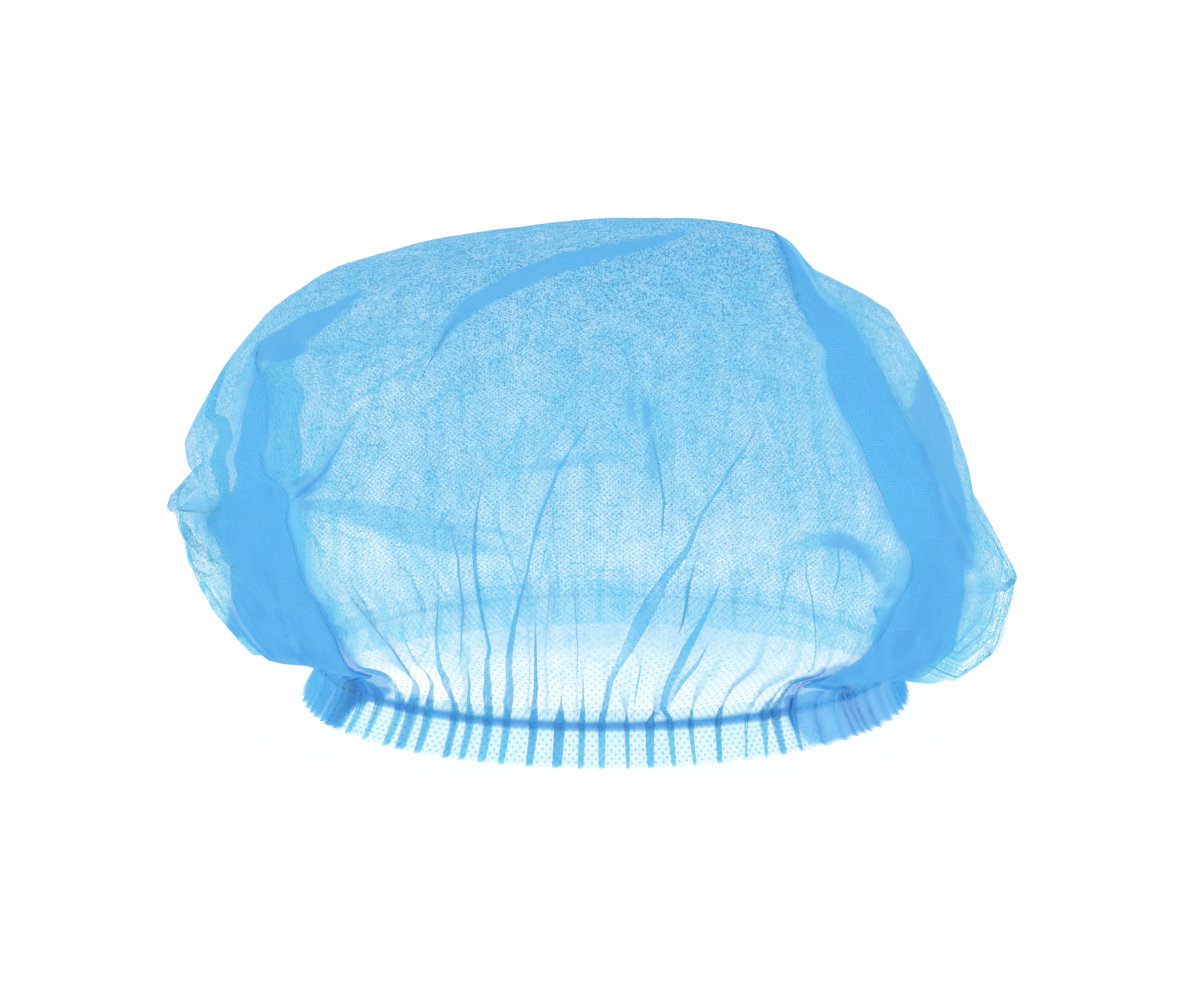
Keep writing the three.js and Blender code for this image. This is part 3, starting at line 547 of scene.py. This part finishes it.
gatherRows = {
    # how far the gathers lap, how high they ripple and how much cloth is bunched in them, by level
    "level": [0, 0.5, 1, 1.35, 1.7, 2.1, 2.6, 3.5, 5, 7],
    "lap": [0.34, 0.37, 0.39, 0.33, 0.24, 0.165, 0.08, 0.03, 0, 0],
    "ripple": [1.0, 0.8, 0.45, 0.8, 0.9, 0.8, 0.7, 0.5, 0.3, 0],
    "bunch": [0.3, 0.3, 0.4, 0.45, 0.4, 0.3, 0.12, 0, 0, 0],
}


def gathered(own, level):
    # each gather has its own strength and its own height above the elastic
    phase = gatherPhase(own)
    random = np.random.default_rng(cloth["seed"])
    strengths = random.uniform(0.78, 1.18, cloth["gathers"] + 2)
    heights = random.uniform(0.6, 1.9, cloth["gathers"] + 2)
    which = np.round(phase / (2 * np.pi)).astype(int) % cloth["gathers"]
    ends = easeStep(np.abs(np.sin(np.radians(own))), 0.6, 0.85)
    here = np.where(level > 1, 1 + (level - 1) / (heights[which] + cloth["endHeight"] * ends), level)
    backFade = 1 - cloth["backCalm"] * easeStep(np.abs(own), 95, 130)
    close = sum(
        easeStep(side * own, start, full) * (1 - easeStep(side * own, fade, end))
        for side, start, full, fade, end in closeStretches
    )
    backFade *= 1 - cloth["endLess"] * close
    lap = np.interp(here, gatherRows["level"], gatherRows["lap"]) * strengths[which] * backFade
    uneven = 1 + 0.35 * noise2(own * 0.31, np.full_like(own, level), 21)
    ripple = np.interp(level, gatherRows["level"], gatherRows["ripple"]) * uneven
    bunch = np.interp(here, gatherRows["level"], gatherRows["bunch"]) * strengths[which] * backFade
    return phase, lap, ripple, bunch * easeStep(np.cos(phase), 0.2, 0.6)


def clothRow(own, level, inset=0.0):
    # a row of points of the cloth at one level, how much cloth is bunched at each, where it came to lie round
    # the cap, and how far it lies folded over
    levels = np.full_like(own, level)
    settled = own + turnAt(own, level)
    azimuth, out, along, raised, bunch = settled.copy(), *[np.zeros_like(own) for _ in range(4)]
    folds = []
    for lap in wideLaps:
        share = alongPath(lap["path"], level, 2)
        wave = lapWave(wrapDegrees(own - lap["own"]) / lap["width"] + 0.5) * share
        out += lap["side"] * lap["depth"] * wave
        azimuth += 0.5 * lap["width"] * wave
        centre = lap["own"] + turnAt(np.array([lap["own"]]), level)[0]
        folds.append((centre, lap["width"] * lapHalf(0.5 * share), *lapShade["wide"]))
    point = formPoint(azimuth, levels)
    across = formPoint(azimuth + 0.5, levels) - formPoint(azimuth - 0.5, levels)
    arc = np.linalg.norm(across, axis=-1)  # millimetres to a degree
    around = across / arc[..., None]
    high, low = min(level + 0.05, len(ringRows) - 0.01), max(level - 0.05, 0)
    up = formPoint(azimuth, levels + high - level) - formPoint(azimuth, levels + low - level)
    length = np.linalg.norm(up, axis=-1)
    climb = length / (high - low)  # millimetres to a level
    up /= length[..., None]
    outward = np.cross(around, up)
    outward[..., 2] *= easeStep(level, 0, 0.6)  # the lowest edge stays level
    outward /= np.linalg.norm(outward, axis=-1, keepdims=True)
    for name, ownAt, width, lapShare, height, path, drift in allFineLaps:
        share = alongPath(path, level, 2)
        if share <= 0:
            continue
        centre = np.array([ownAt + drift * level / path[-1][0]])
        turn = turnAt(centre, level)
        t = wrapDegrees(settled - centre - turn) * arc / width + 0.5
        wave = lapWave(t) * share
        out += height * wave
        along += lapShare * width * wave
        bunch += cloth["foldBunch"] * share * middleLayer(t)
        folds.append((centre[0] + turn[0], width * lapHalf(lapShare * share) / arc, *lapShade["fine"]))
    for name, width, lapShare, height, path in crossLaps:
        centre = (path[0][0] + path[-1][0]) / 2
        place = wrapDegrees(azimuth - centre) + centre
        share = alongPath(path, place, 2)
        wave = lapWave((level - alongPath(path, place, 1)) * climb / width + 0.5) * share
        out -= height * wave
        raised += lapShare * width * wave
    for name, azimuthA, levelA, azimuthB, levelB, height, half in creaseRows:
        runX, runY = wrapDegrees(azimuthB - azimuthA) / degreesPerLevel, levelB - levelA
        hereX, hereY = wrapDegrees(azimuth - azimuthA) / degreesPerLevel, level - levelA
        share = np.clip((hereX * runX + hereY * runY) / (runX**2 + runY**2), 0, 1)
        distance = np.hypot(hereX - share * runX, hereY - share * runY)
        lengthwise = np.sin(np.pi * np.clip(share, 0.1, 0.9))
        out += height * lengthwise * np.maximum(0, 1 - distance / (2 * half)) ** 2
    phase, lapAmount, rippleHeight, gatherBunch = gathered(own, level)
    pitch = arc * 360 / cloth["gathers"]
    along -= lapAmount * pitch * np.sin(phase)
    out += rippleHeight * np.sin(phase + 0.5)
    inFront = 1 - easeStep(np.abs(own), 85, 110)
    bunch += gatherBunch + cloth["elasticBunch"] * inFront * math.exp(-(((level - 1) / 0.08) ** 2))
    lies = wrapDegrees(azimuth + along / arc)
    for name, soft, rows in upStrips:
        bunch += stripBunch(rows, levels, lies, soft)
    for name, soft, rows in roundStrips:
        bunch += stripBunch(rows, lies, levels, soft)
    lapped = np.zeros_like(own)
    for centre, half, soft, strength in folds:
        inside = easeStep(-np.abs(wrapDegrees(lies - centre)), -half - soft, -half + soft / 2)
        lapped = np.maximum(lapped, np.where(half > 0, strength * inside, 0))
    pastEnd = np.maximum(lies - lapShade["hemFrom"], lapShade["hemTo"] - lies)
    hemEnds = easeStep(pastEnd, 0, lapShade["hemSoft"]) * (1 - easeStep(level, *lapShade["hemTop"]))
    lapped = np.maximum(lapped, hemEnds)
    free = easeStep(level, *crumple["from"])
    flat = flatRadius(level)
    flatX, flatY = onDisc(flat, own).T
    atEars = easeStep(np.abs(np.sin(np.radians(azimuth))), 0.8, 0.97)
    sides = crumple["front"] + crumple["ears"] * atEars * (1 - easeStep(level, *crumple["earsTop"]))
    coarse, fine = crumple["coarseSize"], crumple["fineSize"]
    out += free * crumple["coarse"] * sides * creased(flatX / coarse, flatY / coarse, 31)
    out += free * crumple["fine"] * sides * creased(flatX / fine + 40, flatY / fine, 37)
    rising = math.exp(-((level - crumple["risingAt"]) / crumple["risingSpread"]) ** 2) * free * (1.5 - sides)
    waveRound, waveUp = crumple["risingWaves"]
    out += rising * crumple["rising"] * creased(own * waveRound, levels * waveUp, 43)
    points = point + around * along[..., None] + up * raised[..., None]
    points = points + outward * (out - inset)[..., None] + middle
    return points, bunch, azimuth + along / arc, lapped


def meshObject(name, points, faces):
    # a smooth mesh and its object, from points in millimetres
    mesh = bpy.data.meshes.new(name)
    mesh.from_pydata((points * mm).tolist(), [], faces)
    mesh.polygons.foreach_set("use_smooth", np.ones(len(mesh.polygons), bool))
    made = bpy.data.objects.new(name, mesh)
    bpy.context.collection.objects.link(made)
    return made


def makeSheet(name, rows, columnsOf, tip=None, insets=None):
    # rows of points up the cloth, each with the same number of columns as the one below or half as many
    points, places, bunches, faces, starts, turned, lappedParts = [], [], [], [], [], [], []
    allOwn = ownColumns(cloth["hemColumns"])
    for k, level in enumerate(rows):
        own = allOwn[:: cloth["hemColumns"] // columnsOf(level)]
        starts.append((sum(len(p) for p in points), len(own)))
        row, bunch, azimuth, lapped = clothRow(own, level, 0.0 if insets is None else insets[k])
        points.append(row)
        lappedParts.append(lapped)
        turned.append(azimuth)
        bunches.append(bunch)
        places.append(np.stack([own, np.full_like(own, level)], -1))
    for (low, lowCount), (high, highCount) in zip(starts, starts[1:]):
        j = np.arange(highCount)
        a, b = high + j, high + (j + 1) % highCount
        if lowCount == highCount:
            faces += np.stack([low + j, low + (j + 1) % lowCount, b, a], -1).tolist()
        else:
            c, d, e = low + 2 * j, low + (2 * j + 1) % lowCount, low + (2 * j + 2) % lowCount
            faces += np.stack([c, d, a], -1).tolist() + np.stack([d, e, b], -1).tolist()
            faces += np.stack([d, b, a], -1).tolist()
    if tip is not None:
        low, count = starts[-1]
        points.append((np.array(tip) + middle)[None])
        places.append(np.array([[0.0, 15.0]]))
        bunches.append(np.zeros(1))
        turned.append(np.zeros(1))
        lappedParts.append(np.zeros(1))
        faces += [[low + j, low + (j + 1) % count, low + count] for j in range(count)]
    points, places, bunches, turned, lapped = [
        np.concatenate(part) for part in (points, places, bunches, turned, lappedParts)
    ]
    sheet = meshObject(name, points, faces)
    mesh = sheet.data
    corners, loopTotals = np.empty(len(mesh.loops), int), np.empty(len(mesh.polygons), int)
    mesh.loops.foreach_get("vertex_index", corners)
    mesh.polygons.foreach_get("loop_total", loopTotals)
    face = np.repeat(np.arange(len(loopTotals)), loopTotals)
    own, level = places[corners, 0], places[corners, 1]
    radius = flatRadius(level)
    # the weave goes by the place round and up the cap, so that the dots aren't squeezed in the gathers
    faceLow, faceHigh, faceLevel = [np.full(len(loopTotals), start) for start in (999.0, -999.0, 0.0)]
    np.minimum.at(faceLow, face, own)
    np.maximum.at(faceHigh, face, own)
    np.maximum.at(faceLevel, face, level)
    across = turned[corners]
    onTop = onDisc(radius, across)
    across = np.where(((faceHigh - faceLow)[face] > 180) & (own < 0), across + 360, across)
    onSide = np.stack([across * cloth["weaveSpread"], np.interp(level, lengthLevels, lengthsUp)], -1)
    weave = np.where((faceLevel[face] > cloth["weaveTurn"])[:, None], onTop, onSide) * mm
    layers = {
        "weave": weave,
        "OFBake": onDisc(radius, own) / (cloth["flatDiameter"] * 1.02) + 0.5,
        "bunch": np.stack([bunches[corners], radius * mm], -1),
        "lapped": np.stack([lapped[corners], lapped[corners]], -1),
    }
    for layer, values in layers.items():
        mesh.uv_layers.new(name=layer).data.foreach_set("uv", values.astype(np.float32).ravel())
    mesh.uv_layers.active = mesh.uv_layers["weave"]
    return sheet


def levelRows(spans):
    rows = []
    for low, high, count in spans:
        rows += [low + (high - low) * k / count for k in range(count)]
    return rows + [spans[-1][1]]


crownRows = levelRows([(0, 2, 14), (2, 4.4, 26), (4.4, 11.4, 84), (11.4, 14.6, 24)])


def crownColumnsOf(level):
    if level <= cloth["fineColumnsTo"] + 0.01:
        return cloth["hemColumns"]
    return cloth["crownColumns"] if level < 11.3 else cloth["topColumns"]


crownPiece = makeSheet("crown_cloth", crownRows, crownColumnsOf, tip=peak)
print("crown cloth:", len(crownPiece.data.polygons), "faces")

hemRows = levelRows([(0.06, 1, 6), (1, cloth["turnedTo"], 3)])
hemInset = [0.6 + 1.2 * math.exp(-(((level - 1) / 0.35) ** 2)) for level in hemRows]
hemPiece = makeSheet("turned_hem_cloth", hemRows, lambda level: cloth["hemColumns"], insets=hemInset)
print("turned hem:", len(hemPiece.data.polygons), "faces")


stitches = {
    "count": 430,  # along the whole hem
    "level": 1.0,
    "reach": 0.055,  # how far each stitch goes up and down, in levels
    "proud": 0.35,  # millimetres outside the cloth
    "radius": 0.24,
    "sides": 5,
}


def stitchThread():
    # one zigzag thread round the hem, over the elastic
    turns = np.arange(2 * stitches["count"])
    own = -180 + turns * 180 / stitches["count"]
    low = clothRow(own, stitches["level"] - stitches["reach"], -stitches["proud"])[0]
    high = clothRow(own, stitches["level"] + stitches["reach"], -stitches["proud"])[0]
    spine = np.where((turns % 2 == 0)[:, None], low, high)
    ahead = np.roll(spine, -1, 0) - np.roll(spine, 1, 0)
    ahead /= np.linalg.norm(ahead, axis=1, keepdims=True)
    upward = np.array([0, 0, 1.0])
    across = np.cross(ahead, upward)
    across /= np.linalg.norm(across, axis=1, keepdims=True)
    sides = stitches["sides"]
    angles = 2 * np.pi * np.arange(sides) / sides
    ring = np.cos(angles)[None, :, None] * across[:, None] + np.sin(angles)[None, :, None] * upward
    points = (spine[:, None] + stitches["radius"] * ring).reshape(-1, 3)
    total = len(turns)
    faces = []
    for k in range(total):
        here, there = k * sides, (k + 1) % total * sides
        for j in range(sides):
            beside = (j + 1) % sides
            faces.append([here + j, there + j, there + beside, here + beside])
    return meshObject("hem_stitches", points, faces)


stitchPiece = stitchThread()
print("hem stitches:", len(stitchPiece.data.polygons), "faces")


clothMaterial = bpy.data.materials.new("sheer non-woven")
clothMaterial.use_nodes = True
tree = clothMaterial.node_tree
tree.nodes.clear()


def node(kind, inputs=None, **settings):
    made = tree.nodes.new("ShaderNode" + kind)
    for key, value in settings.items():
        setattr(made, key, value)
    for key, value in (inputs or {}).items():
        if isinstance(value, bpy.types.NodeSocket):
            tree.links.new(value, made.inputs[key])
        else:
            made.inputs[key].default_value = value
    return made


def maths(operation, a, b=0.0, c=None):
    inputs = {0: a, 1: b}
    if c is not None:
        inputs[2] = c
    return node("Math", inputs, operation=operation).outputs[0]


def mapRange(value, fromLow, fromHigh, toLow, toHigh, kind="SMOOTHSTEP"):
    inputs = {0: value, 1: fromLow, 2: fromHigh, 3: toLow, 4: toHigh}
    return node("MapRange", inputs, interpolation_type=kind).outputs[0]


def ramp(value, fromLow, fromHigh, toLow, toHigh):
    return mapRange(value, fromLow, fromHigh, toLow, toHigh, "LINEAR")


def mixColour(share, one, other):
    return node("Mix", {0: share, 6: one, 7: other}, data_type="RGBA").outputs[2]


def layerParts(layer):
    # the two values that the sheets keep in this layer
    place = node("UVMap", uv_map=layer).outputs[0]
    return node("SeparateXYZ", {0: place}).outputs


sheerCloth = {
    "deepColour": (0.222, 0.755, 0.975, 1),  # where much cloth lies together
    "topPaintedShadeColour": (0.245, 0.725, 0.975, 1),  # painted shade on the top, which faces away from the light of the floor
    "bunchedColour": (0.15, 0.53, 0.88, 1),  # where a single layer is crumpled close
    "lappedPaintedLightColour": (0.24, 0.71, 0.965, 1),  # painted light in the wide folds, which get less light
    "thinColour": (0.20, 0.82, 0.92, 1),  # where it is thin and stretched
    "topCoverage": 0.67,  # share of the light that the fibres stop, at the top
    "coverage": 0.495,  # round the crown
    "lowCoverage": 0.44,  # below the crown
    "hemCoverage": 0.135,  # and at the hem, where it stops the least
    "workedFrom": 240.0,  # millimetres from the middle of the flat cloth
    "workedTo": 168.0,
    "lowFrom": 205.0,
    "lowTo": 180.0,
    "crownFrom": 152.0,
    "topFrom": 130.0,
    "topTo": 50.0,
    "dotPitch": 2.9,  # millimetres
    "dotEdges": (0.45, 0.8),
    "crownDotPitch": 1.7,
    "crownDotEdges": (0.1, 0.8),
    "dotCover": 0.42,
    "topDotCover": 0.38,
    "fibreSize": 0.55,  # millimetres
    "fibreCover": 0.29,
    "topGrain": 1.6,  # how much stronger the grain is on the top
    "speckColour": (0.08, 0.32, 0.62, 1),  # where the fibres lie thickest
    "speckFrom": -0.3,
    "speckTo": 0.7,
    "speckDepth": 0.62,
    "cloudSize": 18.0,
    "cloudCover": 0.07,
    "streakSize": 5.0,
    "streakLength": 8,  # as many times as long as they are wide
    "streakCover": 0.10,
    "wrinkles": [(22.0, 0.035), (9.9, 0.06)],  # how far apart in millimetres, and how wide as a share of that
    "wrinkleBend": 0.012,
    "wrinkleCover": 0.26,
    "bunching": 2.0,  # how fast bunched cloth stops the light
}


def scaledNoise(place, size, detail, roughness=0.5, stretch=(1, 1, 1)):
    # random bumps of about this size in millimetres, from -1 to 1
    scale = tuple(1 / (size * mm * part) for part in stretch)
    at = node("VectorMath", {0: place, 1: scale}, operation="MULTIPLY").outputs[0]
    inputs = {"Vector": at, "Scale": 1.0, "Detail": detail, "Roughness": roughness}
    return ramp(node("TexNoise", inputs).outputs[0], 0.3, 0.7, -1.0, 1.0)


def clothFinish(look):
    # round dots in a diamond lattice, where the web is bonded
    weave = layerParts("weave")
    lattices = []
    for pitch, edges in (("dotPitch", "dotEdges"), ("crownDotPitch", "crownDotEdges")):
        turn = 2 * math.pi / (look[pitch] * mm)
        waves = [maths("COSINE", maths("MULTIPLY", weave[k], turn)) for k in (0, 1)]
        lattices.append(mapRange(maths("MULTIPLY", *waves), *look[edges], 0.0, 1.0))
    # fibres, clouds, and soft streaks that run up the cap
    onCap = node("TexCoord").outputs["Object"]
    fibres = scaledNoise(onCap, look["fibreSize"], 2, 0.7, (1, 3, 1))
    clouds = scaledNoise(onCap, look["cloudSize"], 2, 0.6)
    streaks = scaledNoise(onCap, look["streakSize"], 1, 0.5, (1, 1, look["streakLength"]))
    uneven = maths("MULTIPLY", maths("MAXIMUM", fibres, -0.35), look["fibreCover"])
    uneven = maths("MULTIPLY_ADD", clouds, look["cloudCover"], uneven)
    uneven = maths("MULTIPLY_ADD", streaks, look["streakCover"], uneven)
    # straight-edged wrinkles, here and there
    wobble = node("TexNoise", {"Vector": onCap, "Scale": 40.0, "Detail": 0}).outputs["Color"]
    bend = {0: wobble, 1: (look["wrinkleBend"],) * 3, 2: onCap}
    bent = node("VectorMath", bend, operation="MULTIPLY_ADD").outputs[0]
    wrinkles = []
    for size, width in look["wrinkles"]:
        inputs = {"Vector": bent, "Scale": 1 / (size * mm)}
        toEdge = node("TexVoronoi", inputs, feature="DISTANCE_TO_EDGE").outputs[0]
        patches = scaledNoise(onCap, size * 0.9, 1)
        where = mapRange(patches, -0.1, 0.7, 0.0, look["wrinkleCover"])
        wrinkles.append(maths("MULTIPLY", mapRange(toEdge, 0.0, width, 1.0, 0.0), where))
    # how much the cloth stops, by how far it was from the middle of the flat cloth
    bunch, flatReach = layerParts("bunch")[:2]
    fromTop = maths("MULTIPLY", flatReach, 1 / mm)
    worked = ramp(fromTop, look["workedFrom"], look["workedTo"], 0.0, 1.0)
    high = ramp(fromTop, look["topFrom"], look["topTo"], 0.0, 1.0)
    atHem, low, full = look["hemCoverage"], look["lowCoverage"], look["coverage"]
    base = ramp(fromTop, look["workedFrom"], look["lowFrom"], atHem, low)
    toFull = ramp(fromTop, look["lowTo"], look["crownFrom"], 0.0, full - low)
    base = maths("ADD", base, toFull)
    base = maths("MULTIPLY_ADD", high, look["topCoverage"] - full, base)
    topStrength = maths("MULTIPLY_ADD", high, look["topGrain"] - 1, 1.0)
    strength = maths("MULTIPLY", ramp(worked, 0.0, 0.5, 0.35, 1.0), topStrength)
    uneven = maths("ADD", uneven, maths("ADD", *wrinkles))
    base = maths("MULTIPLY_ADD", uneven, strength, base)
    dotCover = ramp(worked, 0.1, 0.45, look["dotCover"], 0.0)
    base = maths("MULTIPLY_ADD", lattices[0], dotCover, base)
    crownDotCover = ramp(worked, 0.2, 0.6, 0.0, look["topDotCover"])
    base = maths("MULTIPLY_ADD", lattices[1], crownDotCover, base)
    base = node("Clamp", {0: base, 1: 0.02, 2: 0.96}).outputs[0]
    bunched = maths("EXPONENT", maths("MULTIPLY", bunch, -look["bunching"]))
    let = maths("MULTIPLY", maths("SUBTRACT", 1.0, base), bunched)
    cover = maths("SUBTRACT", 1.0, let)
    # its colour, from the thin cloth at the hem to the top
    deep = ramp(maths("MULTIPLY_ADD", bunch, 1.6, worked), 0.1, 0.8, 0.0, 1.0)
    colour = mixColour(deep, look["thinColour"], look["deepColour"])
    # painted shade: the top gets its own darker colour, as it faces away from the light of the floor
    colour = mixColour(high, colour, look["topPaintedShadeColour"])
    # lower down it takes less to turn the cloth the deeper colour
    packing = maths("MULTIPLY_ADD", maths("SUBTRACT", 1.0, worked), 0.3, bunch)
    packed = ramp(packing, 0.45, 0.75, 0.0, 1.0)
    colour = mixColour(packed, colour, look["bunchedColour"])
    # painted light: where the cloth lies folded over, and at the ends of the hem, it gets its own colour to
    # make up for the light the folds lose
    lapped = layerParts("lapped")[0]
    inLap = maths("MULTIPLY", lapped, mapRange(streaks, -0.9, 0.5, 0.62, 1.0))
    colour = mixColour(inLap, colour, look["lappedPaintedLightColour"])
    # the thickest fibres show as darker specks, but not where the cloth is bunched or folded over
    specks = ramp(fibres, look["speckFrom"], look["speckTo"], 0.0, look["speckDepth"])
    notPacked, notLapped = [maths("SUBTRACT", 1.0, share) for share in (packed, lapped)]
    for share in (notPacked, notLapped, worked, topStrength):
        specks = maths("MULTIPLY", specks, share)
    colour = mixColour(specks, colour, look["speckColour"])
    front = node("BsdfDiffuse", {"Color": colour}).outputs[0]
    behind = node("BsdfTranslucent", {"Color": colour}).outputs[0]
    lit = node("MixShader", {0: 0.5, 1: front, 2: behind}).outputs[0]
    clear = node("BsdfTransparent").outputs[0]
    sheer = node("MixShader", {0: cover, 1: clear, 2: lit}).outputs[0]
    node("OutputMaterial", {"Surface": sheer})


clothFinish(sheerCloth)
crownPiece.data.materials.append(clothMaterial)
hemPiece.data.materials.append(clothMaterial)


def plainFinish(name, look):
    material = bpy.data.materials.new(name)
    material.use_nodes = True
    for key, value in look.items():
        material.node_tree.nodes["Principled BSDF"].inputs[key].default_value = value
    return material


elasticLook = {"Base Color": (0.12, 0.46, 0.80, 1), "Roughness": 0.7, "Alpha": 0.12}
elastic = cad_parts["elastic"]
elastic.data.materials.clear()
elastic.data.materials.append(plainFinish("elastic", elasticLook))
threadLook = {"Base Color": (0.18, 0.58, 0.90, 1), "Roughness": 0.6, "Alpha": 0.16}
stitchPiece.data.materials.append(plainFinish("stitch thread", threadLook))

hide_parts("crown")
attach(crownPiece, "root")
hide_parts("turned_hem")
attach(hemPiece, "root")
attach(stitchPiece, "root")

studio = {
    "dome": 0.97,
    "floorLook": {
        "Base Color": (0.1, 0.1, 0.1, 1),
        "Roughness": 0.9,
        "Specular IOR Level": 0.1,
        "Emission Color": (1, 1, 1, 1),
        "Emission Strength": 0.93,
    },
    "floorReach": 8000,  # millimetres
    "elevation": 13.0,
    "distance": 1.6,
    "aim": (0.001, 0.0, 0.070),
    "frameWidth": 389.35,  # millimetres that the picture takes in at the cap
    "rise": -0.017112,  # how far the picture is moved, as a share of its width
    "film": 36,  # millimetres across the camera's film
}
reach = studio["floorReach"]
floorCorners = np.array([(-reach, -reach, 0), (reach, -reach, 0), (reach, reach, 0), (-reach, reach, 0)])
floor = meshObject("floor", floorCorners, [(0, 1, 2, 3)])
floorMaterial = plainFinish("pale floor", studio["floorLook"])
floor.data.materials.append(floorMaterial)

world = bpy.data.worlds.new("studio")
world.use_nodes = True
dome = world.node_tree.nodes["Background"].inputs
dome["Color"].default_value = (1, 1, 1, 1)
dome["Strength"].default_value = studio["dome"]
bpy.context.scene.world = world
# dome and floor are the same all over, so the light is found as well without aiming at them, and far sooner
world.cycles.sampling_method = "NONE"
floorMaterial.cycles.emission_sampling = "NONE"

camera = bpy.data.cameras.new("camera")
cameraObject = bpy.data.objects.new("camera", camera)
bpy.context.collection.objects.link(cameraObject)
tilt = math.radians(studio["elevation"])
aimX, aimY, aimZ = studio["aim"]
back, above = studio["distance"] * math.cos(tilt), studio["distance"] * math.sin(tilt)
cameraObject.location = (aimX, aimY - back, aimZ + above)
cameraObject.rotation_euler = (math.pi / 2 - tilt, 0, 0)
camera.sensor_width = studio["film"]
camera.lens = studio["film"] * studio["distance"] / (studio["frameWidth"] * mm)
camera.shift_y = studio["rise"]
bpy.context.scene.camera = cameraObject

scene = bpy.context.scene
scene.view_settings.view_transform = "Standard"
scene.cycles.transparent_max_bounces = 64
scene.cycles.max_bounces = 7
scene.cycles.diffuse_bounces = 6
